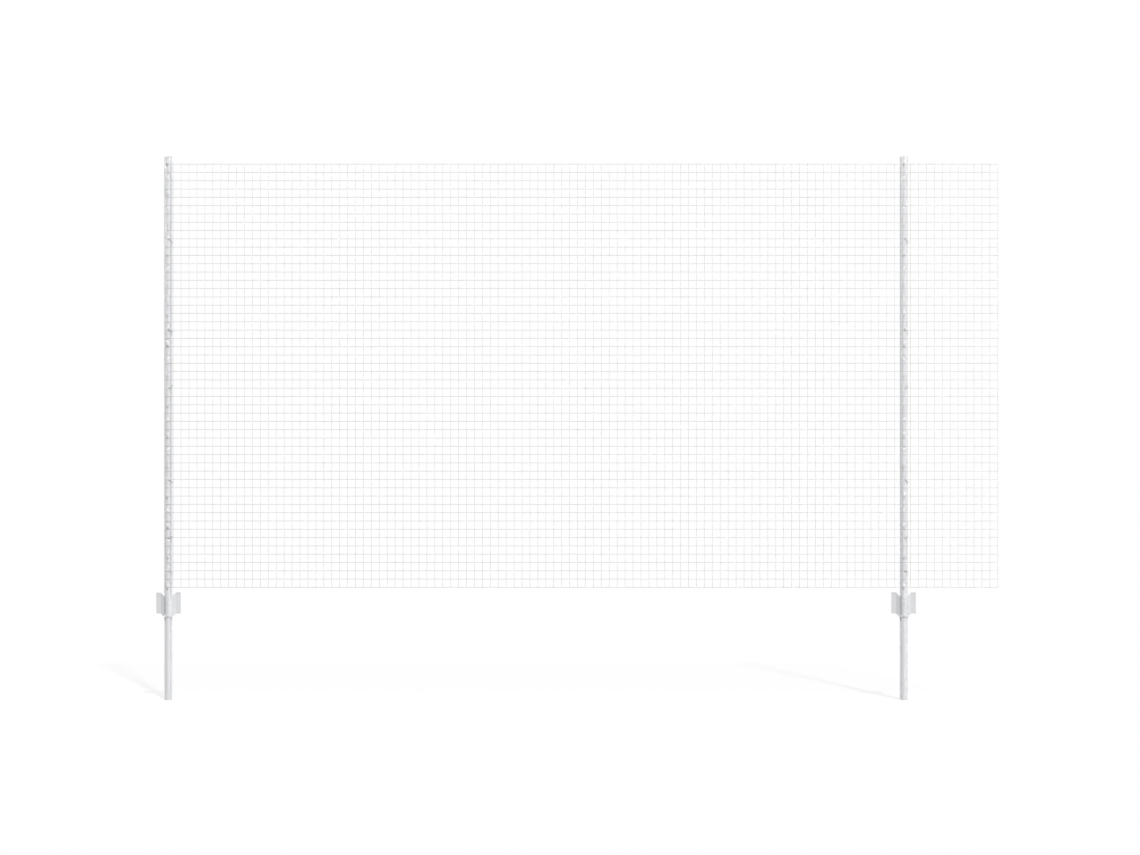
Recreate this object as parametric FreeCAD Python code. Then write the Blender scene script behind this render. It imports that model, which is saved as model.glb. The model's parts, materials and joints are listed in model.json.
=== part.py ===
import FreeCAD, Part
import math
import os

# Welded steel mesh on two light steel posts, standing free of the ground it is set in.
# The origin is on the foot of the left post, at the middle of its crown sheet.
# X runs along the fence to the right, -Y is the side of the mesh, Z is up. Lengths are in millimetres.

V = FreeCAD.Vector

# Posts: a light U section with a narrow flat on its round crown and two small lips at the back
POST_SPACING = 2254.0
POST_LENGTH = 1665.0
POST_WIDTH = 24.0
POST_DEPTH = 13.0
POST_SHEET = 1.3
CROWN_FLAT = 6.4
SHOULDER_RADIUS = 3.0
FLANK_ANGLE = 13.0
LIP_BEND = 1.0

# Hooks: tongues lanced out of the crown, square out at the top and hanging down
HOOK_PITCH = 92.6
HOOK_BELOW_TOP = 15.0
HOOK_ABOVE_PLATE = 20.0
HOOK_WIDTH = 5.6
HOOK_REACH = 4.2
HOOK_DROP = 10.3
HOOK_SHEET = 1.2
HOOK_CORNER = 1.6
LANCE_GAP = 0.2

# Round holes in the crown, one below each hook but the last
HOLE_BELOW_HOOK = 48.4
HOLE_DIAMETER = 6.0

# Welded mesh: level line wires against the crowns, upright cross wires welded to their front
WIRE = 1.2
WIRE_SIDES = 8
LINE_PITCH = 25.4
CROSS_PITCH_SOUGHT = 24.27
MESH_BELOW_TOP = 24.4
MESH_ABOVE_PLATE = 16.0
CROSS_BEFORE_LEFT_POST = 7.7
CROSS_BEFORE_RIGHT_POST = 4.75
MESH_PAST_POST = 287.0
MESH_CLEARANCE = 0.1
LINE_GROUPS = 4
CROSS_GROUPS = 8

# Anchor plates: a stamped saddle over the crown with two wings
PLATE_SHEET = 1.5
PLATE_WIDTH = 75.0
PLATE_HEIGHT = 64.4
PLATE_TOP = 328.4
PLATE_DROP = 10.3
PLATE_CLEARANCE = 0.15
PLATE_BEND = 1.5
SADDLE_SIDE_GAP = 0.6
SADDLE_LIP_GAP = 0.55
WING_START = 23.0
WING_SET_BACK = 5.5

# Lock lugs: tongues of the post that hold the plate
LUG_BELOW_EDGE = 15.1
LUG_ABOVE_EDGE = 8.8
LUG_WIDTH = 5.0
LUG_DROP = 6.5
LUG_CORNER = 0.9
LUG_SLOT_GAP = 0.4

# Wire ties. Each goes through the hole that lies this share of the way down the holes,
# up (1) or down (-1) over the next line wire, and this much further on its way round the post
TIE_WIRE = 1.6
TIE_SIDES = 6
TIE_CLEARANCE = 0.15
TIE_SIDE_GAP = 0.8
TIE_STEP = 5.5
TIE_TAIL = 6.5
TIE_INSIDE = 8.5
TIES = ((0.15, -1, 8.0), (0.38, -1, 3.1), (0.54, 1, 6.2), (0.77, -1, 7.4), (0.92, 1, 2.0), (1.0, -1, 5.8))

CROWN_FRONT = -POST_SHEET / 2
SHOULDER_Y = CROWN_FRONT + SHOULDER_RADIUS
POST_BACK = CROWN_FRONT + POST_DEPTH
LIP_FRONT = POST_BACK - POST_SHEET
LINE_Y = CROWN_FRONT - MESH_CLEARANCE - WIRE / 2
CROSS_Y = LINE_Y - WIRE
TOP_HOOK = POST_LENGTH - HOOK_BELOW_TOP
TOP_LINE = POST_LENGTH - MESH_BELOW_TOP
CROSS_SPAN = POST_SPACING + CROSS_BEFORE_LEFT_POST - CROSS_BEFORE_RIGHT_POST
PLATE_BOTTOM = PLATE_TOP - PLATE_HEIGHT
SADDLE_TOP = PLATE_TOP - PLATE_DROP
SADDLE_BOTTOM = PLATE_BOTTOM - PLATE_DROP
HOOK_COUNT = int((TOP_HOOK - PLATE_TOP - HOOK_ABOVE_PLATE) / HOOK_PITCH) + 1
HOLE_COUNT = HOOK_COUNT - 1
LINE_WIRES = int((TOP_LINE - PLATE_TOP - MESH_ABOVE_PLATE) / LINE_PITCH) + 1
PITCHES_BETWEEN = round(CROSS_SPAN / CROSS_PITCH_SOUGHT)
CROSS_PITCH = CROSS_SPAN / PITCHES_BETWEEN
CROSS_WIRES = PITCHES_BETWEEN + int((MESH_PAST_POST + CROSS_BEFORE_RIGHT_POST) / CROSS_PITCH) + 1


def line_height(number):
    return TOP_LINE - LINE_PITCH * number


def hook_height(number):
    """The top of a hook, moved a little where its ledge would meet a line wire."""
    middle = TOP_HOOK - HOOK_PITCH * number - HOOK_SHEET / 2
    wire = line_height(round((TOP_LINE - middle) / LINE_PITCH))
    need = (HOOK_SHEET + WIRE) / 2 + MESH_CLEARANCE
    if abs(middle - wire) < need:
        middle = wire + math.copysign(need, middle - wire)
    return middle + HOOK_SHEET / 2


def hole_height(number):
    return TOP_HOOK - HOOK_PITCH * number - HOLE_BELOW_HOOK


# Bent sheet: a line of straight runs, given a thickness and rounded at its corners

def direction(start, end):
    length = math.hypot(end[0] - start[0], end[1] - start[1])
    return (end[0] - start[0]) / length, (end[1] - start[1]) / length


def turn_at(points, place):
    ax, ay = direction(points[place - 1], points[place])
    bx, by = direction(points[place], points[place + 1])
    return math.atan2(ax * by - ay * bx, ax * bx + ay * by)


def moved_left(points, distance):
    """The same line, moved to its own left with sharp corners."""
    moved = []
    last = len(points) - 1
    for place, (x, y) in enumerate(points):
        ax, ay = direction(points[max(place - 1, 0)], points[max(place, 1)])
        bx, by = direction(points[min(place, last - 1)], points[min(place + 1, last)])
        nx, ny = -(ay + by), ax + bx
        scale = 2 * distance / (nx * nx + ny * ny)
        moved.append((x + nx * scale, y + ny * scale))
    return moved


def rounded_edges(points, radii, to_space):
    """Straight runs and tangent arcs through the points."""
    edges = []
    start = points[0]
    for place in range(1, len(points) - 1):
        x, y = points[place]
        radius = radii[place - 1]
        half = abs(turn_at(points, place)) / 2
        reach = radius * math.tan(half)
        ax, ay = direction(points[place - 1], points[place])
        bx, by = direction(points[place], points[place + 1])
        before = (x - reach * ax, y - reach * ay)
        after = (x + reach * bx, y + reach * by)
        cx, cy = bx - ax, by - ay
        inward = radius * (1 / math.cos(half) - 1) / math.hypot(cx, cy)
        middle = (x + cx * inward, y + cy * inward)
        edges.append(Part.LineSegment(to_space(*start), to_space(*before)).toShape())
        if radius > 0:
            edges.append(Part.Arc(to_space(*before), to_space(*middle), to_space(*after)).toShape())
        start = after
    edges.append(Part.LineSegment(to_space(*start), to_space(*points[-1])).toShape())
    return edges


def bent_sheet(points, inner_radii, sheet, to_space):
    """The section of a bent sheet. One side follows the points, the other lies to their left."""
    near_radii = []
    far_radii = []
    for place, radius in enumerate(inner_radii, start=1):
        left_turn = turn_at(points, place) > 0
        outer = radius + sheet if radius > 0 else 0
        near_radii.append(outer if left_turn else radius)
        far_radii.append(radius if left_turn else outer)
    far = moved_left(points, sheet)
    near_edges = rounded_edges(points, near_radii, to_space)
    far_edges = rounded_edges(far, far_radii, to_space)
    start_cap = Part.LineSegment(to_space(*points[0]), to_space(*far[0])).toShape()
    end_cap = Part.LineSegment(to_space(*points[-1]), to_space(*far[-1])).toShape()
    outline = near_edges + [end_cap] + far_edges[::-1] + [start_cap]
    return Part.Face(Part.Wire(Part.__sortEdges__(outline)))


def flat(x, y):
    return V(x, y, 0)


def block(x_low, x_high, y_low, y_high, z_low, z_high):
    return Part.makeBox(x_high - x_low, y_high - y_low, z_high - z_low, V(x_low, y_low, z_low))


# Posts

def post_section():
    """The front side of the sheet, from the left lip over the crown to the right lip."""
    slope = math.radians(FLANK_ANGLE)
    corner = CROWN_FLAT / 2 + SHOULDER_RADIUS * math.tan(math.pi / 4 - slope / 2)
    foot = corner + (LIP_FRONT - CROWN_FRONT) * math.tan(slope)
    right = [(corner, CROWN_FRONT), (foot, LIP_FRONT), (POST_WIDTH / 2, LIP_FRONT)]
    left = [(-x, y) for x, y in right[::-1]]
    inner = SHOULDER_RADIUS - POST_SHEET
    return bent_sheet(left + right, [LIP_BEND, inner, inner, LIP_BEND], POST_SHEET, flat)


def tongue(top, width, reach, drop, corner):
    """A lanced tongue: out of the crown, round a corner and down."""
    front = CROWN_FRONT - reach
    points = [(CROWN_FRONT + POST_SHEET, top), (front + corner, top), (front, top - corner)]
    points.append((front, top - drop))

    def upright(y, z):
        return V(-width / 2, y, z)

    return bent_sheet(points, [0, 0], HOOK_SHEET, upright).extrude(V(width, 0, 0))


def tongue_window(top, width, drop):
    """The opening that the tongue leaves in the crown."""
    half = width / 2 + LANCE_GAP
    return block(-half, half, CROWN_FRONT - 1, SHOULDER_Y, top - drop, top - HOOK_SHEET)


def lug_heights():
    return SADDLE_TOP - LUG_BELOW_EDGE, SADDLE_BOTTOM + LUG_ABOVE_EDGE


def round_hole(height):
    return Part.makeCylinder(HOLE_DIAMETER / 2, POST_DEPTH, V(0, -POST_DEPTH / 2, height), V(0, 1, 0))


def post():
    cuts = []
    tongues = []
    for number in range(HOOK_COUNT):
        top = hook_height(number)
        cuts.append(tongue_window(top, HOOK_WIDTH, HOOK_DROP))
        tongues.append(tongue(top, HOOK_WIDTH, HOOK_REACH, HOOK_DROP, HOOK_CORNER))
    lug_reach = 2 * PLATE_CLEARANCE + PLATE_SHEET + HOOK_SHEET
    for top in lug_heights():
        cuts.append(tongue_window(top, LUG_WIDTH, LUG_DROP))
        tongues.append(tongue(top, LUG_WIDTH, lug_reach, LUG_DROP, LUG_CORNER))
    for number in range(HOLE_COUNT):
        cuts.append(round_hole(hole_height(number)))
    channel = post_section().extrude(V(0, 0, POST_LENGTH))
    channel = channel.cut(Part.Compound(cuts))
    return channel.fuse(tongues)


# Anchor plates

def saddle_corner():
    return POST_WIDTH / 2 + SADDLE_SIDE_GAP, LIP_FRONT - PLATE_SHEET - SADDLE_LIP_GAP


def plate_section():
    """The front side of the plate, from its left end over the crown to its right end."""
    saddle_x, saddle_y = saddle_corner()
    # The wall of the saddle leaves the round of the shoulder on a tangent and ends at the saddle's corner
    wrap = SHOULDER_RADIUS + PLATE_CLEARANCE + PLATE_SHEET
    over, back = saddle_x - CROWN_FLAT / 2, saddle_y - SHOULDER_Y
    lean = math.atan2(back, over) + math.asin(wrap / math.hypot(over, back))
    corner = CROWN_FLAT / 2 + wrap * math.tan(lean / 2)
    wing = saddle_y + WING_SET_BACK
    right = [(corner, SHOULDER_Y - wrap), (saddle_x, saddle_y), (WING_START, wing), (PLATE_WIDTH / 2, wing)]
    left = [(-x, y) for x, y in right[::-1]]
    inner = wrap - PLATE_SHEET
    radii = [PLATE_BEND, PLATE_BEND, inner, inner, PLATE_BEND, PLATE_BEND]
    return bent_sheet(left + right, radii, PLATE_SHEET, flat)


def plate_outline():
    """The cut edge of the plate seen from the front: its middle lies lower than its wings."""
    half = PLATE_WIDTH / 2
    saddle_x = saddle_corner()[0]
    right = [(saddle_x, SADDLE_BOTTOM), (WING_START, PLATE_BOTTOM), (half, PLATE_BOTTOM)]
    right += [(half, PLATE_TOP), (WING_START, PLATE_TOP), (saddle_x, SADDLE_TOP)]
    left = [(-x, z) for x, z in right[::-1]]
    corners = [V(x, -POST_DEPTH, z) for x, z in right + left]
    outline = Part.makePolygon(corners + corners[:1])
    return Part.Face(outline).extrude(V(0, 3 * POST_DEPTH, 0))


def anchor_plate():
    sheet = plate_section()
    sheet.translate(V(0, 0, SADDLE_BOTTOM))
    plate = sheet.extrude(V(0, 0, PLATE_TOP - SADDLE_BOTTOM)).common(plate_outline())
    half = LUG_WIDTH / 2 + LANCE_GAP
    slots = []
    for top in lug_heights():
        low = top - HOOK_SHEET - LUG_SLOT_GAP
        slots.append(block(-half, half, -POST_DEPTH, SHOULDER_Y, low, top + LUG_SLOT_GAP))
    return plate.cut(Part.Compound(slots))


# Wire: a bar of few sides with flats to the front and back

def polygon(sides, across, to_space):
    radius = across / 2 / math.cos(math.pi / sides)
    corners = []
    for side in range(sides):
        angle = (side + 0.5) * 2 * math.pi / sides
        corners.append(to_space(radius * math.cos(angle), radius * math.sin(angle)))
    return Part.Face(Part.makePolygon(corners + corners[:1]))


def line_wire(number):
    left = -CROSS_BEFORE_LEFT_POST - WIRE / 2
    length = CROSS_PITCH * (CROSS_WIRES - 1) + WIRE
    height = line_height(number)
    section = polygon(WIRE_SIDES, WIRE, lambda a, b: V(left, LINE_Y + a, height + b))
    return section.extrude(V(length, 0, 0))


def cross_wire(number):
    x = CROSS_PITCH * number - CROSS_BEFORE_LEFT_POST
    bottom = line_height(LINE_WIRES - 1) - WIRE / 2
    length = LINE_PITCH * (LINE_WIRES - 1) + WIRE
    section = polygon(WIRE_SIDES, WIRE, lambda a, b: V(x + a, CROSS_Y + b, bottom))
    return section.extrude(V(0, 0, length))


# Ties

def bar_along(points, sides, across):
    """A bar of flat sides along straight runs, mitred where they meet."""
    radius = across / 2
    runs = [(points[i + 1] - points[i]).normalize() for i in range(len(points) - 1)]
    side_way = runs[0].cross(V(0, 0, 1)).normalize()
    up_way = side_way.cross(runs[0])
    ring = []
    for side in range(sides):
        angle = side * 2 * math.pi / sides
        ring.append(points[0] + side_way * (radius * math.cos(angle)) + up_way * (radius * math.sin(angle)))
    rings = [ring]
    for place in range(1, len(points)):
        run = runs[place - 1]
        mitre = run + runs[place] if place < len(runs) else run
        ahead = []
        for corner in rings[-1]:
            travel = (points[place] - corner).dot(mitre) / run.dot(mitre)
            ahead.append(corner + run * travel)
        rings.append(ahead)
    faces = [Part.Face(Part.makePolygon(rings[0] + rings[0][:1])),
             Part.Face(Part.makePolygon(rings[-1] + rings[-1][:1]))]
    for near, far in zip(rings, rings[1:]):
        for side in range(sides):
            following = (side + 1) % sides
            corners = [near[side], near[following], far[following], far[side], near[side]]
            faces.append(Part.Face(Part.makePolygon(corners)))
    solid = Part.Solid(Part.Shell(faces))
    if solid.Volume < 0:
        solid.reverse()
    return solid


def tie(share, way, run):
    """Out through the hole, across the next line wire, round the right lip and behind it."""
    room = TIE_WIRE / 2 + TIE_CLEARANCE
    centre = hole_height(round(share * (HOLE_COUNT - 1)))
    # The next wire leaves the tie room to come out of the hole on its near side
    slack = HOLE_DIAMETER / 2 - room
    nearest = WIRE / 2 + room - slack
    ahead = [way * (line_height(n) - centre) for n in range(LINE_WIRES)]
    wire = min(distance for distance in ahead if distance > nearest)
    leave = centre + way * (min(slack, wire - WIRE / 2 - room) - slack) / 2
    past_wire = centre + way * (wire + WIRE / 2 + room)
    end = past_wire + way * run
    front = LINE_Y - WIRE / 2 - room
    back = POST_BACK + room
    beside = POST_WIDTH / 2 + TIE_WIRE / 2 + TIE_SIDE_GAP
    points = [V(0, TIE_INSIDE, leave), V(0, front, leave), V(TIE_STEP, front, past_wire)]
    points += [V(beside, LIP_FRONT - TIE_WIRE, end), V(beside, back, end), V(TIE_TAIL, back, end)]
    return bar_along(points, TIE_SIDES, TIE_WIRE)


# The parts, one file each

def save(shape, name, x=0.0):
    placed = shape.copy()
    placed.translate(V(x, 0, 0))
    placed.exportStep("parts/" + name + ".step")
    print(name, len(placed.Solids), round(placed.Volume, 1), placed.isValid())


def grouped(solids, groups):
    cuts = [round(len(solids) * group / groups) for group in range(groups + 1)]
    return [Part.Compound(solids[start:end]) for start, end in zip(cuts, cuts[1:])]


os.makedirs("parts", exist_ok=True)
one_post = post()
one_plate = anchor_plate()
for side, x in (("left", 0.0), ("right", POST_SPACING)):
    save(one_post, "post_" + side, x)
    save(one_plate, "anchor_plate_" + side, x)
    for number, (share, way, run) in enumerate(TIES, start=1):
        save(tie(share, way, run), "tie_" + side + "_" + str(number), x)
for number, group in enumerate(grouped([line_wire(n) for n in range(LINE_WIRES)], LINE_GROUPS), start=1):
    save(group, "line_wires_" + str(number))
for number, group in enumerate(grouped([cross_wire(n) for n in range(CROSS_WIRES)], CROSS_GROUPS), start=1):
    save(group, "cross_wires_" + str(number))
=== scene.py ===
# %% [markdown]
# A steel mesh fence panel
#
# The object is one length of light garden fencing: a welded square mesh of thin zinc-coated wire,
# tied to two slim pressed-steel posts. Each post has a row of hooks and holes down its rounded
# front, and low down a winged plate that anchors it in the soil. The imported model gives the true
# sizes and places of all of these, so this script loads it first and reads every place from it.

# %% Load the fixed model
import json
import math
import random

import bpy
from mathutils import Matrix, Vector
from mathutils.geometry import delaunay_2d_cdt


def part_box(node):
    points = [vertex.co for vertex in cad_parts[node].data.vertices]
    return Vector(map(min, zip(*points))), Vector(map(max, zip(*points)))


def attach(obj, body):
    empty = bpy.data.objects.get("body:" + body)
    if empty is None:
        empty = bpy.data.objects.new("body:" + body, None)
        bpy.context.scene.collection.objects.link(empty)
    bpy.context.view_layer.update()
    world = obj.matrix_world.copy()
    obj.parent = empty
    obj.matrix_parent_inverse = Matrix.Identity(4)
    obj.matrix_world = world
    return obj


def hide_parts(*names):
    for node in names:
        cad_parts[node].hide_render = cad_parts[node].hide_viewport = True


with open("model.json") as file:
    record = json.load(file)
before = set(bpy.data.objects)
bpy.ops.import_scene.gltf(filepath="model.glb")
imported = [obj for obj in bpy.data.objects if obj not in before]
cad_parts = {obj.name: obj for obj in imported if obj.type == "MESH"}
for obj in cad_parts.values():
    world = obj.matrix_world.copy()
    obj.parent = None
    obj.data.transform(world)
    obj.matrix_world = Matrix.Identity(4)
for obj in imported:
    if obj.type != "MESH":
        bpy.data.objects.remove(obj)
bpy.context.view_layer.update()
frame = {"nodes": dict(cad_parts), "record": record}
nodes = frame["nodes"]
MM = 0.001

# %% [markdown]
# Finding the wires
#
# The mesh has level line wires, which lie against the posts, and upright cross wires, which are
# welded to the front of the line wires. The model holds them as thin eight-sided bars, thirteen or
# so to a node. All that a round wire needs is its centre line and its thickness. The thickness is
# the depth of a node's box, and the centre lines are evenly spaced inside the box, so no list of
# places has to be typed in.

# %% Read the wire places from the boxes
LINE_NODES = sorted(name for name in nodes if name.startswith("line_wires_"))
CROSS_NODES = sorted(name for name in nodes if name.startswith("cross_wires_"))


def box_of(names):
    corners = [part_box(name) for name in names]
    low = Vector([min(c[0][axis] for c in corners) for axis in range(3)])
    high = Vector([max(c[1][axis] for c in corners) for axis in range(3)])
    return low, high


line_low, line_high = box_of(LINE_NODES)
cross_low, cross_high = box_of(CROSS_NODES)
wire_radius = (line_high.y - line_low.y) / 2
line_y = (line_high.y + line_low.y) / 2
cross_y = (cross_high.y + cross_low.y) / 2
print("wire thickness in mm:", round(2 * wire_radius / MM, 3))


def evenly(low, high, count):
    step = (high - low) / (count - 1)
    return [low + step * n for n in range(count)]


LINE_COUNT = 52
CROSS_COUNT = 106
line_places = evenly(line_low.z + wire_radius, line_high.z - wire_radius, LINE_COUNT)
cross_places = evenly(cross_low.x + wire_radius, cross_high.x - wire_radius, CROSS_COUNT)
print("line pitch", round((line_places[1] - line_places[0]) / MM, 2),
      "cross pitch", round((cross_places[1] - cross_places[0]) / MM, 2))

# %% [markdown]
# Making round wire
#
# A wire could be a curve with a bevel, but hundreds of curve objects are slow and export poorly.
# Here each wire is a row of rings of points with quads between them, written straight into one mesh
# for a whole group of wires. The same helper follows a bent route, so it makes the ties as well. At
# each bend the ring is carried over by turning it no more than the route turns, which keeps the
# faces from twisting. The ends have a small chamfer, as cut wire has after it is dipped in zinc.

# %% A round wire along any route
END_CHAMFER = 0.00015


def new_object(name, points, faces):
    mesh = bpy.data.meshes.new(name)
    mesh.from_pydata(points, [], faces)
    mesh.update()
    piece = bpy.data.objects.new(name, mesh)
    bpy.context.scene.collection.objects.link(piece)
    return piece


def with_end_chamfers(route):
    first = (route[1] - route[0]).normalized() * END_CHAMFER
    last = (route[-2] - route[-1]).normalized() * END_CHAMFER
    return [route[0], route[0] + first, *route[1:-1], route[-1] + last, route[-1]]


def add_wire(points, faces, route, radius, sides):
    route = with_end_chamfers(route)
    across = (route[1] - route[0]).orthogonal().normalized()
    begin = len(points)
    for index, centre in enumerate(route):
        before = route[max(index - 1, 0)]
        after = route[min(index + 1, len(route) - 1)]
        along = (after - before).normalized()
        across = (across - along * across.dot(along)).normalized()
        beside = along.cross(across)
        at_end = index in (0, len(route) - 1)
        ring_radius = radius - END_CHAMFER if at_end else radius
        for side in range(sides):
            angle = 2 * math.pi * (side + 0.5) / sides
            points.append(centre + (across * math.cos(angle) + beside * math.sin(angle)) * ring_radius)
    for ring in range(len(route) - 1):
        for side in range(sides):
            a = begin + ring * sides + side
            b = begin + ring * sides + (side + 1) % sides
            faces.append((a, b, b + sides, a + sides))
    last = begin + (len(route) - 1) * sides
    faces.append([begin + side for side in reversed(range(sides))])
    faces.append([last + side for side in range(sides)])


straight = with_end_chamfers([Vector((0, 0, 0)), Vector((0, 0, 1))])
print("rings on a straight wire:", len(straight))

# %% [markdown]
# The wires of the mesh
#
# Each node of wires in the model becomes one piece with the same wires, now round. They are
# straight, so a route is just two points: from the left end of the node's box to its right end, or
# from its bottom to its top. Smooth shading makes twelve sides look round, and edges that turn more
# sharply than a wire's side stay crisp.

# %% The line wires and the cross wires
WIRE_SIDES = 12
SHARP_ANGLE = math.radians(40)


def shade_round(piece):
    piece.data.shade_smooth()
    piece.data.set_sharp_from_angle(angle=SHARP_ANGLE)


def inside(places, low, high):
    return [place for place in places if low < place < high]


def wire_group(name, node, routes):
    points, faces = [], []
    for route in routes:
        add_wire(points, faces, route, wire_radius, WIRE_SIDES)
    piece = new_object(name, points, faces)
    shade_round(piece)
    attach(piece, "root")
    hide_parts(node)
    return piece


line_pieces, cross_pieces = [], []
for number, node in enumerate(LINE_NODES, start=1):
    low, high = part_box(node)
    heights = inside(line_places, low.z, high.z)
    routes = [[Vector((low.x, line_y, z)), Vector((high.x, line_y, z))] for z in heights]
    line_pieces.append(wire_group("round_line_wires_" + str(number), node, routes))
for number, node in enumerate(CROSS_NODES, start=1):
    low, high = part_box(node)
    places = inside(cross_places, low.x, high.x)
    routes = [[Vector((x, cross_y, low.z)), Vector((x, cross_y, high.z))] for x in places]
    cross_pieces.append(wire_group("round_cross_wires_" + str(number), node, routes))
print("round wires in", len(line_pieces) + len(cross_pieces), "pieces")

# %% [markdown]
# The welds
#
# Where two wires cross, the welder has pressed them together, and the zinc has filled the corners
# between them. Each of the five and a half thousand welds is a small flattened bead between the two
# wires. It reaches a little further along the wires than between them, as the filled corners do.
# There are so many that a bead has few faces and smooth shading, and each one differs a little in
# size and place.

# %% A bead at every crossing
BEAD_SIDES = 8
BEAD_REACH = 0.00098
BEAD_WAIST = 0.8
BEAD_HALF_DEPTH = 0.0005
BEAD_LEVELS = ((-0.62, 0.72), (0.0, 1.0), (0.62, 0.72))
BEAD_DRIFT = 0.00007
BEAD_SPREAD = (0.9, 1.1)
contact_y = (line_y + cross_y) / 2


def add_bead(points, faces, centre, reach, depth):
    tip = len(points)
    points.append(centre - Vector((0, depth, 0)))
    for level, share in BEAD_LEVELS:
        for side in range(BEAD_SIDES):
            angle = 2 * math.pi * side / BEAD_SIDES
            radius = reach * share * (1.0 if side % 2 == 0 else BEAD_WAIST)
            offset = Vector((math.cos(angle) * radius, level * depth, math.sin(angle) * radius))
            points.append(centre + offset)
    points.append(centre + Vector((0, depth, 0)))
    end = len(points) - 1
    for side in range(BEAD_SIDES):
        after = (side + 1) % BEAD_SIDES
        faces.append((tip, tip + 1 + side, tip + 1 + after))
        for ring in range(len(BEAD_LEVELS) - 1):
            a = tip + 1 + ring * BEAD_SIDES + side
            b = tip + 1 + ring * BEAD_SIDES + after
            faces.append((a, a + BEAD_SIDES, b + BEAD_SIDES, b))
        faces.append((end, end - BEAD_SIDES + after, end - BEAD_SIDES + side))


bead_pieces = []
bead_count = 0
for number, node in enumerate(CROSS_NODES, start=1):
    dice = random.Random(number)
    low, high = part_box(node)
    points, faces = [], []
    for x in inside(cross_places, low.x, high.x):
        for z in line_places:
            drift = Vector((dice.uniform(-1, 1), 0, dice.uniform(-1, 1))) * BEAD_DRIFT
            reach = BEAD_REACH * dice.uniform(*BEAD_SPREAD)
            depth = BEAD_HALF_DEPTH * dice.uniform(*BEAD_SPREAD)
            add_bead(points, faces, Vector((x, contact_y, z)) + drift, reach, depth)
            bead_count += 1
    piece = new_object("weld_beads_" + str(number), points, faces)
    piece.data.shade_smooth()
    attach(piece, "root")
    bead_pieces.append(piece)
print("welds:", bead_count)

# %% [markdown]
# The wire ties
#
# A tie is a short length of softer wire. It comes out of a round hole in the post, crosses the next
# line wire, bends round the edge of the post and ends behind it. The model has each tie as a
# straight-sided bar with sharp mitres, but a hand bends wire in arcs. The corners of the route are
# found again in the model: each corner is the middle of a ring of points of the bar. Then every
# corner is swapped for an arc that touches both of its runs.

# %% Smooth ties along the model's route
TIE_RADIUS = 0.0008
TIE_SIDES = 12
TIE_BEND = 0.0017
ARC_STEPS = 7
# Where a tie turns, seen from above: across from the post's middle and back from its crown, in metres
TIE_TURNS = ((0, 0.0085), (0, -0.0029), (0.0055, -0.0029),
             (0.0136, 0.00945), (0.0136, 0.0133), (0.0065, 0.0133))
SEARCH_REACH = 0.0019
TIES_ON_A_POST = 6


def route_corners(node, post_x):
    spots = [vertex.co for vertex in nodes[node].data.vertices]
    corners = []
    for across, back in TIE_TURNS:
        near = [s for s in spots if math.hypot(s.x - post_x - across, s.y - back) < SEARCH_REACH]
        middle = (min(s.z for s in near) + max(s.z for s in near)) / 2
        corners.append(Vector((post_x + across, back, middle)))
    return corners


def with_arcs(corners, radius):
    route = [corners[0]]
    for before, corner, after in zip(corners, corners[1:], corners[2:]):
        back = (before - corner).normalized()
        on = (after - corner).normalized()
        half_turn = (math.pi - back.angle(on)) / 2
        setback = radius * math.tan(half_turn)
        middle = corner + (back + on).normalized() * (radius / math.cos(half_turn))
        start = (corner + back * setback - middle).normalized()
        end = (corner + on * setback - middle).normalized()
        for step in range(ARC_STEPS + 1):
            route.append(middle + start.slerp(end, step / ARC_STEPS) * radius)
    route.append(corners[-1])
    return route


tie_pieces = []
for side_name in ("left", "right"):
    post_low, post_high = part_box("post_" + side_name)
    post_x = (post_low.x + post_high.x) / 2
    for number in range(1, TIES_ON_A_POST + 1):
        node = "tie_" + side_name + "_" + str(number)
        points, faces = [], []
        add_wire(points, faces, with_arcs(route_corners(node, post_x), TIE_BEND), TIE_RADIUS, TIE_SIDES)
        piece = new_object("bent_" + node, points, faces)
        shade_round(piece)
        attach(piece, "root")
        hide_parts(node)
        tie_pieces.append(piece)
print("ties:", len(tie_pieces))

# %% [markdown]
# Pressed sheet
#
# The posts and the winged plates start as flat strips of sheet steel. A press punches the holes,
# and rollers or a die then bend the strip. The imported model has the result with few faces, and its
# crown is flat where the real one is slightly domed. A dome shows in a bright line down its right
# side, so posts and plates are made again here, in the way the factory makes them. First comes the
# bend line: the front of the sheet seen from its end, as straight runs and arcs. Each station on it
# knows how far along the flat strip it lies and which way is the sheet's back. A small elbow is the
# first trial.

# %% The bend line of a sheet
ARC_STEP = math.radians(9)
SHORTEST_RUN = 0.001
HAIR = 0.0001


def back_of(angle):
    return Vector((-math.sin(angle), math.cos(angle)))


def bend_line(corners, radii):
    stations = []

    def add(point, angle):
        along = 0.0
        if stations:
            along = stations[-1][0] + (point - stations[-1][1]).length
            if along - stations[-1][0] < SHORTEST_RUN:
                return
        stations.append((along, point, back_of(angle)))

    runs = [after - before for before, after in zip(corners, corners[1:])]
    angles = [math.atan2(run.y, run.x) for run in runs]
    add(corners[0], angles[0])
    for corner, radius, run, angle, following in zip(corners[1:], radii, runs, angles, angles[1:]):
        turn = (following - angle + math.pi) % (2 * math.pi) - math.pi
        way = math.copysign(1, turn)
        start = corner - run.normalized() * (radius * math.tan(abs(turn) / 2))
        centre = start + back_of(angle) * (radius * way)
        steps = max(2, math.ceil(abs(turn) / ARC_STEP))
        for step in range(steps + 1):
            now = angle + turn * step / steps
            add(centre - back_of(now) * (radius * way), now)
    add(corners[-1], angles[-1])
    return stations


def spot_on(stations, along, depth):
    """The place of a point of the flat strip, once it is bent."""
    for (near, a, back_a), (far, b, back_b) in zip(stations, stations[1:]):
        if along <= far + HAIR:
            break
    share = (along - near) / (far - near)
    return a.lerp(b, share) + back_a.lerp(back_b, share) * depth


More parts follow.
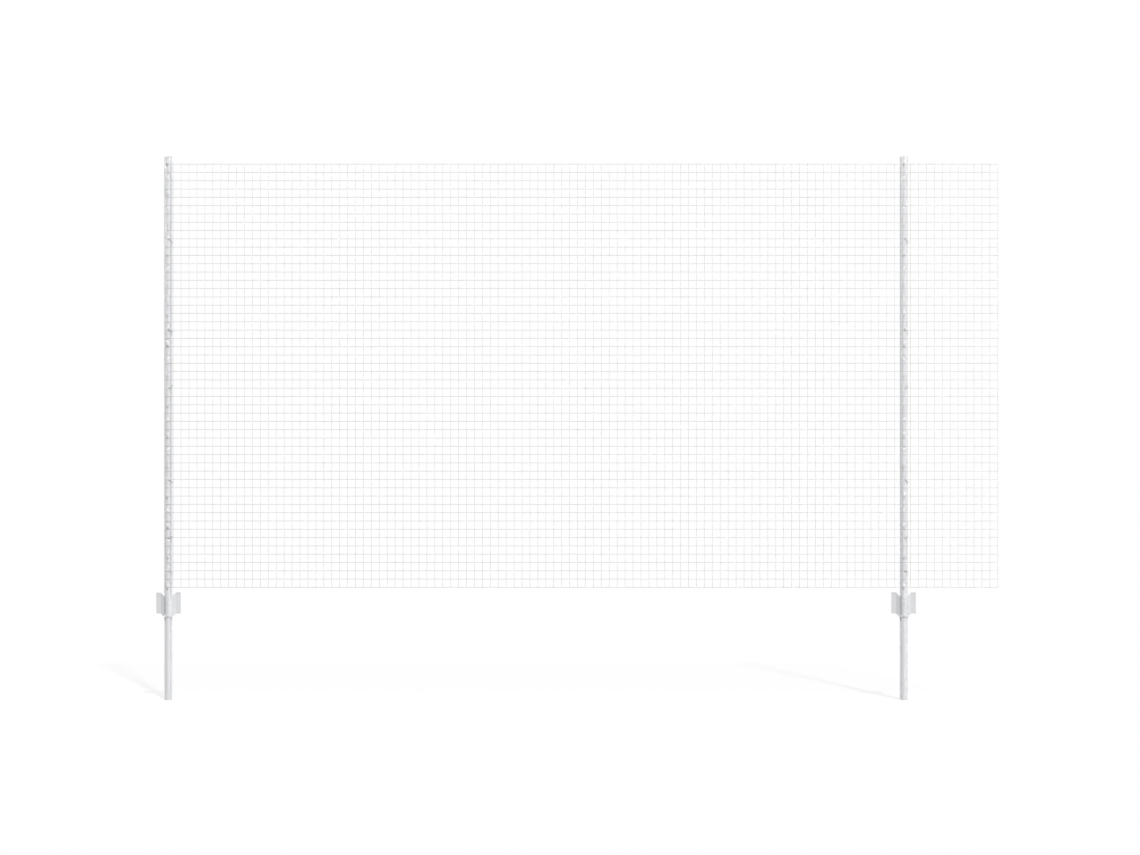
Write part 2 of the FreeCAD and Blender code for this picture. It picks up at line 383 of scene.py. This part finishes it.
ELBOW_LEG = 10
ELBOW_BEND = 2
elbow_corners = [Vector((0, 0)), Vector((ELBOW_LEG, 0)), Vector((ELBOW_LEG, ELBOW_LEG))]
elbow = bend_line(elbow_corners, [ELBOW_BEND])
print("two legs of", ELBOW_LEG, "mm with a bend take", round(elbow[-1][0], 2), "mm of strip")

# %% [markdown]
# Loops on the flat strip
#
# Before it is bent, the strip lies flat, with its outline and the outlines of its openings drawn on
# it. Each outline is a loop of points: a ring for a round hole, a box for a window or a slot. One
# test tells steel from opening: a line from a point to one side crosses a loop around it an odd
# number of times.

# %% Rings, boxes and the test
HOLE_POINTS = 28


def ring(along, across, radius):
    angles = [2 * math.pi * n / HOLE_POINTS for n in range(HOLE_POINTS)]
    return [(along + radius * math.cos(a), across + radius * math.sin(a)) for a in angles]


def box_loop(along_low, along_high, across_low, across_high):
    low_edge = [(along_low, across_low), (along_high, across_low)]
    high_edge = [(along_high, across_high), (along_low, across_high)]
    return low_edge + high_edge


def contains(loop, point):
    inside_it = False
    for (ax, ay), (bx, by) in zip(loop, loop[1:] + loop[:1]):
        if (ay > point.y) != (by > point.y) and point.x < ax + (bx - ax) * (point.y - ay) / (by - ay):
            inside_it = not inside_it
    return inside_it


print("points round a hole:", len(ring(0, 0, 1)), "and round a slot:", len(box_loop(0, 1, 0, 1)))

# %% [markdown]
# Punching and bending
#
# A constrained triangulation cuts the strip along the loops and along every station line, so the
# faces can fold exactly where the sheet bends. The triangles inside an opening are dropped. Then
# each point goes to its bent place twice, on the front and on the back of the sheet, and a narrow
# wall closes every cut edge. The elbow from before is the trial again.

# %% A bent sheet with its openings
ALL_TRIANGLES = 0
SAME_SPOT = 0.0005


def pressed_sheet(points, faces, stations, sheet, outline, openings, to_space):
    spots, edges = [], []
    low = min(across for along, across in outline)
    high = max(across for along, across in outline)
    lines = [[(along, low), (along, high)] for along, point, back in stations]
    for loop in [outline, *openings, *lines]:
        begin = len(spots)
        spots += [Vector(spot) for spot in loop]
        count = len(loop) if len(loop) > 2 else 1
        edges += [(begin + n, begin + (n + 1) % len(loop)) for n in range(count)]
    flat_spots, _, triangles, *_ = delaunay_2d_cdt(spots, edges, [], ALL_TRIANGLES, SAME_SPOT)
    kept = []
    for triangle in triangles:
        middle = sum((flat_spots[n] for n in triangle), Vector((0, 0))) / 3
        if contains(outline, middle) and not any(contains(opening, middle) for opening in openings):
            kept.append(tuple(triangle))
    begin = len(points)
    for spot in flat_spots:
        for depth in (0.0, sheet):
            bent = spot_on(stations, spot.x, depth)
            points.append(to_space(bent.x, bent.y, spot.y) * MM)
    sides = {(t[n], t[(n + 1) % 3]) for t in kept for n in range(3)}
    for a, b, c in kept:
        faces.append([begin + 2 * n for n in (a, b, c)])
        faces.append([begin + 2 * n + 1 for n in (c, b, a)])
    for a, b in sorted(sides):
        if (b, a) not in sides:
            faces.append([begin + n for n in (2 * b, 2 * a, 2 * a + 1, 2 * b + 1)])


ELBOW_SHEET = 1
points, faces = [], []
outline = box_loop(0, elbow[-1][0], 0, ELBOW_LEG)
pressed_sheet(points, faces, elbow, ELBOW_SHEET, outline, [], lambda x, y, z: Vector((x, y, z)))
print("the elbow as a sheet has", len(faces), "faces")

# %% [markdown]
# Hooks and lugs
#
# A hook is a tongue of the post's own sheet: cut free on three sides, pushed out of the crown at
# its top and bent down again, so that it can hold a wire. It leaves a window behind it. The same
# bend line and the same pressing make it, only turned: its line lies in the upright plane through
# the post's middle. The two lock lugs low on the post are shorter tongues that reach through slots
# in the plate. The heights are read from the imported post: the points on the very front of each
# tongue are the top and the bottom of its face.

# %% Tongues
POST_SHEET = 1.3
TONGUE_SHEET = 1.2
TONGUE_ROOT = 1.4
ROOT_BEND = 0.9
ROOT_SINK = 0.02
TIP_ROUND = 0.9
TIP_CORNER = 0.3 * TIP_ROUND
CORNER_SLACK = 0.02
CROWN_FRONT = -POST_SHEET / 2


def face_heights(front, width, corner):
    corner_spots = [v.co / MM for v in nodes["post_left"].data.vertices]
    heights = sorted({round(p.z, 2) for p in corner_spots
                      if abs(p.y - front) < CORNER_SLACK and abs(abs(p.x) - width / 2) < CORNER_SLACK})
    return [(top + corner, bottom) for bottom, top in zip(heights[::2], heights[1::2])]


def add_tongue(points, faces, middle_x, top, bottom, front, width, bend):
    face_y = CROWN_FRONT + ROOT_SINK
    corners = [Vector((face_y, top + TONGUE_ROOT)), Vector((face_y, top)), Vector((front, top)),
               Vector((front, bottom))]
    stations = bend_line(corners, [ROOT_BEND, bend])
    end = stations[-1][0]
    half = width / 2
    edge = [(0, half), (end - TIP_ROUND, half),
            (end - TIP_CORNER, half - TIP_CORNER), (end, half - TIP_ROUND)]
    outline = [(along, -across) for along, across in edge] + edge[::-1]
    pressed_sheet(points, faces, stations, TONGUE_SHEET, outline, [],
                  lambda y, z, x: Vector((middle_x - x, y, z)))


HOOK_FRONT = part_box("post_left")[0].y / MM
HOOK_WIDTH = 5.6
HOOK_CORNER = 1.6
LUG_REACH = 3.0
LUG_FRONT = CROWN_FRONT - LUG_REACH
LUG_WIDTH = 5.0
LUG_CORNER = 0.9
hooks = face_heights(HOOK_FRONT, HOOK_WIDTH, HOOK_CORNER)
lugs = face_heights(LUG_FRONT, LUG_WIDTH, LUG_CORNER)
print("hooks:", len(hooks), "lock lugs:", len(lugs))

# %% [markdown]
# The section of a post
#
# The post is a light U section. Its crown is a wide arc, tighter arcs make the shoulders, the
# flanks lean out a little, and small lips end the section at its open back. An arc takes the place
# of a sharp corner, so the corners come first: the peak, where the two slopes beside the crown
# would meet, and the shoulders, where each slope would meet its flank.

# %% The bend line of the posts
CROWN_ROUND = 12.0
CROWN_SIDE_SLOPE = math.radians(18)
SHOULDER_PLACE = 3.35
SHOULDER_ROUND = 3.0
FLANK_LEAN = math.radians(77)
LIP_BEND = 1.0
LIP_END = 12.0
LIP_FRONT = 11.05

crown_centre = CROWN_FRONT + CROWN_ROUND
shoulder_rise = CROWN_ROUND - SHOULDER_ROUND - SHOULDER_PLACE * math.sin(CROWN_SIDE_SLOPE)
shoulder_y = crown_centre - shoulder_rise / math.cos(CROWN_SIDE_SLOPE)


def peak_and_shoulder(gap, lean):
    """The sharp corners of crown and right shoulder, this far in front of the post."""
    peak = crown_centre - (CROWN_ROUND + gap) / math.cos(CROWN_SIDE_SLOPE)
    out = (SHOULDER_ROUND + gap) / math.cos((lean - CROWN_SIDE_SLOPE) / 2)
    middle = (lean + CROWN_SIDE_SLOPE) / 2
    shoulder = Vector((SHOULDER_PLACE + out * math.sin(middle), shoulder_y - out * math.cos(middle)))
    return Vector((0, peak)), shoulder


def mirrored(right, peak):
    return [Vector((-p.x, p.y)) for p in right[::-1]] + [peak] + right


peak, shoulder = peak_and_shoulder(0, FLANK_LEAN)
foot = shoulder.x + (LIP_FRONT - shoulder.y) / math.tan(FLANK_LEAN)
post_corners = mirrored([shoulder, Vector((foot, LIP_FRONT)), Vector((LIP_END, LIP_FRONT))], peak)
post_line = bend_line(post_corners, [LIP_BEND, SHOULDER_ROUND, CROWN_ROUND, SHOULDER_ROUND, LIP_BEND])
post_half = post_line[-1][0] / 2
print("width of a post's flat strip in mm:", round(2 * post_half, 1))

# %% [markdown]
# Holes and windows
#
# The round holes are where the record says that bolts or ties may go: the upper pair of holes gives
# the top hole and the distance from one to the next. Behind each hook and lug is the window it was
# cut from, a trace wider than the tongue, with a small land of sheet left at its top and at its
# foot.

# %% The openings of the posts
HOLE_RADIUS = 3.0
LANCE_GAP = 0.2
WINDOW_TOP_LAND = 1.2
WINDOW_FOOT_LAND = 0.8

upper = next(m for m in frame["record"]["mounts"] if m["name"] == "upper_holes_left")
hole_pitch = upper["dims"]["spacing_y_mm"]
top_hole = upper["pos_m"][2] / MM + hole_pitch / 2
hole_heights = [top_hole - hole_pitch * n for n in range(len(hooks) - 1)]
openings = [ring(post_half, height, HOLE_RADIUS) for height in hole_heights]
for tops, width in ((hooks, HOOK_WIDTH), (lugs, LUG_WIDTH)):
    half = width / 2 + LANCE_GAP
    openings += [box_loop(post_half - half, post_half + half,
                          low + WINDOW_FOOT_LAND, top - WINDOW_TOP_LAND)
                 for top, low in tops]
print("openings in a post:", len(openings))

# %% [markdown]
# The posts
#
# Both posts are made from the same strip, and each carries its hooks and lugs as part of one mesh.
# The roots of the tongues sink a trace into the crown they grow from, so no gap shows between them.

# %% Roll the posts
post_pieces = []
for side_name in ("left", "right"):
    node = "post_" + side_name
    low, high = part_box(node)
    middle_x = (low.x + high.x) / 2 / MM
    points, faces = [], []
    outline = box_loop(0, 2 * post_half, 0, high.z / MM)
    pressed_sheet(points, faces, post_line, POST_SHEET, outline, openings,
                  lambda x, y, z: Vector((middle_x + x, y, z)))
    for top, bottom in hooks:
        add_tongue(points, faces, middle_x, top, bottom, HOOK_FRONT, HOOK_WIDTH, HOOK_CORNER)
    for top, bottom in lugs:
        add_tongue(points, faces, middle_x, top, bottom, LUG_FRONT, LUG_WIDTH, LUG_CORNER)
    piece = new_object("rolled_" + node, points, faces)
    shade_round(piece)
    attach(piece, "root")
    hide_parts(node)
    post_pieces.append(piece)
print("posts:", len(post_pieces), "faces in one:", len(post_pieces[0].data.polygons))

# %% [markdown]
# The section of a plate
#
# A plate is stamped from the same kind of sheet. Its middle lies over the post's crown like a
# saddle, with walls beside the post's flanks. From there the sheet slopes outwards past the lips
# and ends in two flat wings, which grip the soil. The saddle's crown is the post's own line moved
# forward by a little play and the thickness of the plate.

# %% The bend line of the plates
PLATE_SHEET = 1.5
PLATE_PLAY = 0.15
PLATE_BEND = 1.5
SADDLE_X = 12.6
SADDLE_Y = 9.0
WING_X = 23.0
WING_Y = 14.5

plate_low, plate_high = [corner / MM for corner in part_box("anchor_plate_left")]
gap = PLATE_PLAY + PLATE_SHEET
over = SADDLE_X - SHOULDER_PLACE
behind = SADDLE_Y - shoulder_y
wall_lean = math.atan2(behind, over) + math.asin((SHOULDER_ROUND + gap) / math.hypot(over, behind))
peak, shoulder = peak_and_shoulder(gap, wall_lean)
wing = [Vector((SADDLE_X, SADDLE_Y)), Vector((WING_X, WING_Y)), Vector((plate_high.x, WING_Y))]
plate_corners = mirrored([shoulder, *wing], peak)
plate_line = bend_line(plate_corners, [PLATE_BEND, PLATE_BEND, SHOULDER_ROUND + gap, CROWN_ROUND + gap,
                                       SHOULDER_ROUND + gap, PLATE_BEND, PLATE_BEND])
plate_half = plate_line[-1][0] / 2
print("width of a plate's flat blank in mm:", round(2 * plate_half, 1))

# %% [markdown]
# The outline of a plate
#
# The blank is cut so that the saddle sits lower than the wings, with a slanting step between them.
# The slopes are longer on the flat blank than they look from the front, so a helper finds where on
# the blank a corner lies that ends up at a known width. Two slots let the lock lugs of the post
# through.

# %% The outline and the slots of the plates
PLATE_DROP = 10.3
SLOT_GAP = 0.4


def along_at(x):
    """How far along the flat plate a point lies that ends up this far from the middle."""
    for (near, a, _), (far, b, _) in zip(plate_line, plate_line[1:]):
        if a.x <= x <= b.x:
            return near + (far - near) * (x - a.x) / (b.x - a.x) - plate_half
    return plate_half


saddle_top = plate_high.z - PLATE_DROP
saddle_bottom = plate_low.z
wing_top = plate_high.z
wing_bottom = plate_low.z + PLATE_DROP
right_edge = [(along_at(SADDLE_X), saddle_bottom), (along_at(WING_X), wing_bottom),
              (plate_half, wing_bottom), (plate_half, wing_top),
              (along_at(WING_X), wing_top), (along_at(SADDLE_X), saddle_top)]
plate_outline = [(plate_half + along, z) for along, z in right_edge]
plate_outline += [(plate_half - along, z) for along, z in right_edge[::-1]]
slot_half = LUG_WIDTH / 2 + LANCE_GAP
slots = [box_loop(plate_half - slot_half, plate_half + slot_half,
                  top - TONGUE_SHEET - SLOT_GAP, top + SLOT_GAP)
         for top, bottom in lugs]
print("slots in a plate:", len(slots))

# %% [markdown]
# The winged plates
#
# The two plates are alike as well. They need no tongues, so each is a single pressed sheet.

# %% Stamp the plates
plate_pieces = []
for side_name in ("left", "right"):
    node = "anchor_plate_" + side_name
    low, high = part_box(node)
    middle_x = (low.x + high.x) / 2 / MM
    points, faces = [], []
    pressed_sheet(points, faces, plate_line, PLATE_SHEET, plate_outline, slots,
                  lambda x, y, z: Vector((middle_x + x, y, z)))
    piece = new_object("stamped_" + node, points, faces)
    shade_round(piece)
    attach(piece, "root")
    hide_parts(node)
    plate_pieces.append(piece)
print("plates:", len(plate_pieces), "faces in one:", len(plate_pieces[0].data.polygons))

# %% [markdown]
# What zinc-coated steel looks like
#
# Everything here is steel under a thin coat of zinc. Bright zinc is a metal, but its skin is a
# little chalky, so most of the light is scattered as from paint, and the rest is a soft reflection.
# It is never quite one even grey. The zinc sets in crystals, which show as faint patches a
# millimetre or more wide. Rolling leaves fine streaks along the steel. Handling leaves larger dull
# areas. Three layers of noise stand for these, and their sizes and strengths make the difference
# between post, plate, mesh and tie. Streaks are stretched noise and dull areas are large noise.
# Crystals are the cells of a Voronoi pattern, each with its own tone, and a little noise bends the
# edges of the cells.

# %% Noise for the three layers
WANDER_SCALE = 1.6
WANDER_DETAIL = 3


def place_nodes(material):
    tree = material.node_tree
    tree.nodes.clear()
    output = tree.nodes.new("ShaderNodeOutputMaterial")
    surface = tree.nodes.new("ShaderNodeBsdfPrincipled")
    tree.links.new(surface.outputs["BSDF"], output.inputs["Surface"])
    return tree, surface


def stretched_noise(tree, scale, detail):
    where = tree.nodes.new("ShaderNodeTexCoord")
    stretch = tree.nodes.new("ShaderNodeMapping")
    stretch.inputs["Scale"].default_value = scale
    grain = tree.nodes.new("ShaderNodeTexNoise")
    grain.inputs["Scale"].default_value = 1.0
    grain.inputs["Detail"].default_value = detail
    tree.links.new(where.outputs["Object"], stretch.inputs["Vector"])
    tree.links.new(stretch.outputs["Vector"], grain.inputs["Vector"])
    return grain.outputs["Fac"]


def crystals(tree, size):
    where = tree.nodes.new("ShaderNodeTexCoord")
    wander = tree.nodes.new("ShaderNodeTexNoise")
    wander.inputs["Scale"].default_value = WANDER_SCALE / size
    wander.inputs["Detail"].default_value = WANDER_DETAIL
    shift = tree.nodes.new("ShaderNodeVectorMath")
    shift.operation = "MULTIPLY_ADD"
    shift.inputs[1].default_value = (size, size, size)
    cells = tree.nodes.new("ShaderNodeTexVoronoi")
    cells.inputs["Scale"].default_value = 1 / size
    split = tree.nodes.new("ShaderNodeSeparateColor")
    tree.links.new(where.outputs["Object"], wander.inputs["Vector"])
    tree.links.new(wander.outputs["Color"], shift.inputs[0])
    tree.links.new(where.outputs["Object"], shift.inputs[2])
    tree.links.new(shift.outputs["Vector"], cells.inputs["Vector"])
    tree.links.new(cells.outputs["Color"], split.inputs["Color"])
    return split.outputs["Red"]


def add_up(tree, layers, middle):
    total = None
    for fac, strength in layers:
        part = tree.nodes.new("ShaderNodeMath")
        part.operation = "MULTIPLY_ADD"
        part.inputs[1].default_value = strength
        tree.links.new(fac, part.inputs[0])
        if total is None:
            part.inputs[2].default_value = middle - sum(s for f, s in layers) / 2
        else:
            tree.links.new(total, part.inputs[2])
        total = part.outputs["Value"]
    return total


print("the noise that bends the crystals is", WANDER_SCALE, "times as fine as they are")

# %% [markdown]
# One zinc finish
#
# The tone of a finish is its colour times the sum of the three layers, which keeps its mean at one.
# The same layers change the roughness a little, and the streaks give a very low relief. On the
# posts and plates of this fence the layers are very weak: from across a garden the steel is smooth,
# and they only show close by.

# %% A finish from its colour and its layers
STREAK_DETAIL = 5
DULL_SCALE = (14, 14, 14)
DULL_DETAIL = 4
STREAK_STRENGTH = 0.018
ROUGH_CRYSTALS = 0.03
ROUGH_DULL = 0.03
ROUGH_STREAKS = 0.02
RELIEF_STRENGTH = 0.05
RELIEF_DEPTH = 0.0001


def zinc_finish(name, colour, streaks, metallic, roughness,
                crystal_size, crystal_strength, dull_strength):
    material = bpy.data.materials.new(name)
    material.use_nodes = True
    tree, surface = place_nodes(material)
    streak = stretched_noise(tree, streaks, STREAK_DETAIL)
    crystal = crystals(tree, crystal_size)
    dull = stretched_noise(tree, DULL_SCALE, DULL_DETAIL)
    tone_layers = ((streak, STREAK_STRENGTH), (crystal, crystal_strength), (dull, -dull_strength))
    tone = add_up(tree, tone_layers, 1.0)
    tint = tree.nodes.new("ShaderNodeMix")
    tint.data_type = "RGBA"
    tint.blend_type = "MULTIPLY"
    tint.inputs["Factor"].default_value = 1.0
    tint.inputs["A"].default_value = (*colour, 1)
    tree.links.new(tone, tint.inputs["B"])
    tree.links.new(tint.outputs["Result"], surface.inputs["Base Color"])
    rough_layers = ((crystal, ROUGH_CRYSTALS), (dull, ROUGH_DULL), (streak, ROUGH_STREAKS))
    rough = add_up(tree, rough_layers, roughness)
    tree.links.new(rough, surface.inputs["Roughness"])
    surface.inputs["Metallic"].default_value = metallic
    relief = tree.nodes.new("ShaderNodeBump")
    relief.inputs["Strength"].default_value = RELIEF_STRENGTH
    relief.inputs["Distance"].default_value = RELIEF_DEPTH
    tree.links.new(streak, relief.inputs["Height"])
    tree.links.new(relief.outputs["Normal"], surface.inputs["Normal"])
    return material


print("streaks change the tone by", STREAK_STRENGTH / 2, "either way")

# %% [markdown]
# Five finishes
#
# The posts are rolled, so their streaks run upwards. The plates are stamped from the same kind of
# sheet, a trace darker, with the streaks across. The mesh wire is drawn and dipped, with small
# blotches and no clear direction. Its line wires are given a darker grey than the cross wires in
# front of them, as painted shade for the undersides of the level wires. The ties are softer,
# older-looking wire and darker again. The colours are a neutral grey, only a trace cooler than
# pure grey.

# %% Put the finishes on
SHEET_ZINC = {"metallic": 0.15, "roughness": 0.29,
              "crystal_size": 0.0014, "crystal_strength": 0.02, "dull_strength": 0.015}
MESH_ZINC = {"metallic": 0.35, "roughness": 0.38,
             "crystal_size": 0.003, "crystal_strength": 0.06, "dull_strength": 0.06}
TIE_ZINC = {"metallic": 0.45, "roughness": 0.5,
            "crystal_size": 0.003, "crystal_strength": 0.10, "dull_strength": 0.12}
STREAKS_UP = (700, 700, 9)
STREAKS_ACROSS = (60, 700, 700)
MESH_BLOTCHES = (260, 260, 260)
TIE_BLOTCHES = (300, 300, 300)
POST_GREY = (0.719, 0.726, 0.742)
PLATE_GREY = (0.698, 0.705, 0.72)
# The line grey is darker than the cross grey as painted shade for the undersides of the level wires
LINE_GREY_PAINTED_SHADE = (0.44, 0.443, 0.45)
CROSS_GREY = (0.53, 0.534, 0.542)
TIE_GREY = (0.45, 0.453, 0.46)

post_steel = zinc_finish("rolled_post_zinc", POST_GREY, STREAKS_UP, **SHEET_ZINC)
plate_steel = zinc_finish("stamped_plate_zinc", PLATE_GREY, STREAKS_ACROSS, **SHEET_ZINC)
# The line wires' finish carries that painted shade in its darker grey
line_wire = zinc_finish("line_zinc_painted_shade", LINE_GREY_PAINTED_SHADE, MESH_BLOTCHES, **MESH_ZINC)
cross_wire = zinc_finish("dipped_cross_zinc", CROSS_GREY, MESH_BLOTCHES, **MESH_ZINC)
tie_wire = zinc_finish("dull_tie_zinc", TIE_GREY, TIE_BLOTCHES, **TIE_ZINC)


def dress(piece, material):
    piece.data.materials.clear()
    piece.data.materials.append(material)


for piece in line_pieces:
    dress(piece, line_wire)
for piece in cross_pieces + bead_pieces:
    dress(piece, cross_wire)
for piece in tie_pieces:
    dress(piece, tie_wire)
for piece in post_pieces:
    dress(piece, post_steel)
for piece in plate_pieces:
    dress(piece, plate_steel)
print("finishes:", [m.name for m in (post_steel, plate_steel, line_wire, cross_wire, tie_wire)])

# %% [markdown]
# The floor
#
# The fence stands on a large pale floor, as a product does in a studio. The picture's background is
# pure white, so the floor glows in white where the camera or a reflection looks at it, and it also
# scatters a little real light. The glow stays under white and the scattered light makes up just the
# rest, so a soft shadow remains. Were the sum over white, thin wires would look fainter before the
# floor than above it.

# %% A white floor that keeps the shadow
FLOOR_HALF = 40.0
FLOOR_GLOW = 0.806
FLOOR_COLOUR = 0.17


def seen_directly(tree):
    path = tree.nodes.new("ShaderNodeLightPath")
    seen = path.outputs["Is Camera Ray"]
    for ray in ("Is Glossy Ray", "Is Transmission Ray"):
        either = tree.nodes.new("ShaderNodeMath")
        either.operation = "MAXIMUM"
        tree.links.new(seen, either.inputs[0])
        tree.links.new(path.outputs[ray], either.inputs[1])
        seen = either.outputs["Value"]
    return seen


corners = [Vector((x * FLOOR_HALF, y * FLOOR_HALF, 0)) for x, y in ((-1, -1), (1, -1), (1, 1), (-1, 1))]
floor = new_object("studio_floor", corners, [(0, 1, 2, 3)])
floor_paint = bpy.data.materials.new("floor_white")
floor_paint.use_nodes = True
tree, surface = place_nodes(floor_paint)
surface.inputs["Base Color"].default_value = (FLOOR_COLOUR, FLOOR_COLOUR, FLOOR_COLOUR, 1)
surface.inputs["Roughness"].default_value = 1.0
surface.inputs["Specular IOR Level"].default_value = 0.0
surface.inputs["Emission Color"].default_value = (1, 1, 1, 1)
glow = tree.nodes.new("ShaderNodeMath")
glow.operation = "MULTIPLY"
glow.inputs[1].default_value = FLOOR_GLOW
tree.links.new(seen_directly(tree), glow.inputs[0])
tree.links.new(glow.outputs["Value"], surface.inputs["Emission Strength"])
floor.data.materials.append(floor_paint)
print("floor size in m:", 2 * FLOOR_HALF)

# %% [markdown]
# The room
#
# A studio room lights the fence evenly from all round. It is a dim grey, a little brighter above
# and behind. Only what the steel mirrors is white all round, as in a white studio, and so is the
# background behind it.

# %% A dim room that looks white
ROOM_MIDDLE = 0.37
ROOM_TILT = 0.1
BRIGHT_SIDE = (0.0, 0.6, 0.8)

world = bpy.data.worlds.new("studio_room")
bpy.context.scene.world = world
world.use_nodes = True
tree = world.node_tree
tree.nodes.clear()
out = tree.nodes.new("ShaderNodeOutputWorld")
where = tree.nodes.new("ShaderNodeTexCoord")
side = tree.nodes.new("ShaderNodeVectorMath")
side.operation = "DOT_PRODUCT"
side.inputs[1].default_value = Vector(BRIGHT_SIDE).normalized()
tree.links.new(where.outputs["Generated"], side.inputs[0])
shade = tree.nodes.new("ShaderNodeMapRange")
shade.inputs["From Min"].default_value = -1.0
shade.inputs["To Min"].default_value = ROOM_MIDDLE - ROOM_TILT
shade.inputs["To Max"].default_value = ROOM_MIDDLE + ROOM_TILT
tree.links.new(side.outputs["Value"], shade.inputs["Value"])
room = tree.nodes.new("ShaderNodeBackground")
room.inputs["Color"].default_value = (1, 1, 1, 1)
tree.links.new(shade.outputs["Result"], room.inputs["Strength"])
white = tree.nodes.new("ShaderNodeBackground")
white.inputs["Color"].default_value = (1, 1, 1, 1)
choose = tree.nodes.new("ShaderNodeMixShader")
tree.links.new(seen_directly(tree), choose.inputs[0])
tree.links.new(room.outputs["Background"], choose.inputs[1])
tree.links.new(white.outputs["Background"], choose.inputs[2])
tree.links.new(choose.outputs["Shader"], out.inputs["Surface"])
print("room light from", ROOM_MIDDLE - ROOM_TILT, "to", ROOM_MIDDLE + ROOM_TILT)

# %% [markdown]
# The lamps
#
# The post's crown is darkest left of its middle and brightest on its right side, and the hooks
# throw short, clear shadows down and a little to the left. So the key lamp is small and stands high
# up, a little to the right of the camera, where it still reaches the front of the left lip. Two
# level lamps give the bright line. A weak one in front, a little to the right, is mirrored in the
# right half of every crown. The other stands far out to the right, so it lights the right shoulders
# and misses all that faces forward. A last lamp stands behind the fence on the left. It catches the
# left flanks of the posts, but the wings of a plate keep it off the saddle, whose left wall stays
# dark.

# %% Four lamps
KEY_PLACE = (0.182, -0.662, 0.727)
KEY_STRENGTH = 2.75
KEY_SPREAD = 3
FRONT_PLACE = (0.469, -0.883, 0.035)
FRONT_STRENGTH = 0.25
FRONT_SPREAD = 10
SIDE_PLACE = (0.997, -0.035, 0.07)
SIDE_STRENGTH = 0.8
SIDE_SPREAD = 12
BACK_PLACE = (-0.84, 0.525, 0.14)
BACK_STRENGTH = 1.8
BACK_SPREAD = 12


def add_sun(name, place, strength, spread_degrees):
    lamp = bpy.data.lights.new(name, "SUN")
    lamp.energy = strength
    lamp.angle = math.radians(spread_degrees)
    holder = bpy.data.objects.new(name, lamp)
    holder.rotation_euler = Vector(place).to_track_quat("Z", "Y").to_euler()
    bpy.context.scene.collection.objects.link(holder)


add_sun("key_lamp", KEY_PLACE, KEY_STRENGTH, KEY_SPREAD)
add_sun("front_lamp", FRONT_PLACE, FRONT_STRENGTH, FRONT_SPREAD)
add_sun("side_lamp", SIDE_PLACE, SIDE_STRENGTH, SIDE_SPREAD)
add_sun("back_lamp", BACK_PLACE, BACK_STRENGTH, BACK_SPREAD)
print("the key lamp stands", round(math.degrees(math.asin(KEY_PLACE[2]))), "degrees up")

# %% [markdown]
# The camera
#
# The photograph looks straight at the fence, level, from far away: both posts are upright, and the
# sides of the posts hardly show. Its middle is halfway up the post, and its width takes in a little
# more than the fence. The camera stands nine and a half metres away, and the lens follows from the
# width of the picture at the fence.

# %% A level camera far in front
VIEW_MIDDLE_X = 1.2312
VIEW_MIDDLE_Z = 0.8345
VIEW_WIDTH = 3.490
CAMERA_DISTANCE = 9.5
SENSOR_WIDTH = 36

lens = bpy.data.cameras.new("front_view")
lens.sensor_width = SENSOR_WIDTH
lens.lens = SENSOR_WIDTH * CAMERA_DISTANCE / VIEW_WIDTH
camera = bpy.data.objects.new("front_view", lens)
camera.location = (VIEW_MIDDLE_X, -CAMERA_DISTANCE, VIEW_MIDDLE_Z)
camera.rotation_euler = (math.radians(90), 0, 0)
bpy.context.scene.collection.objects.link(camera)
bpy.context.scene.camera = camera
bpy.context.scene.view_settings.view_transform = "Standard"
print("lens in mm:", round(lens.lens, 1))
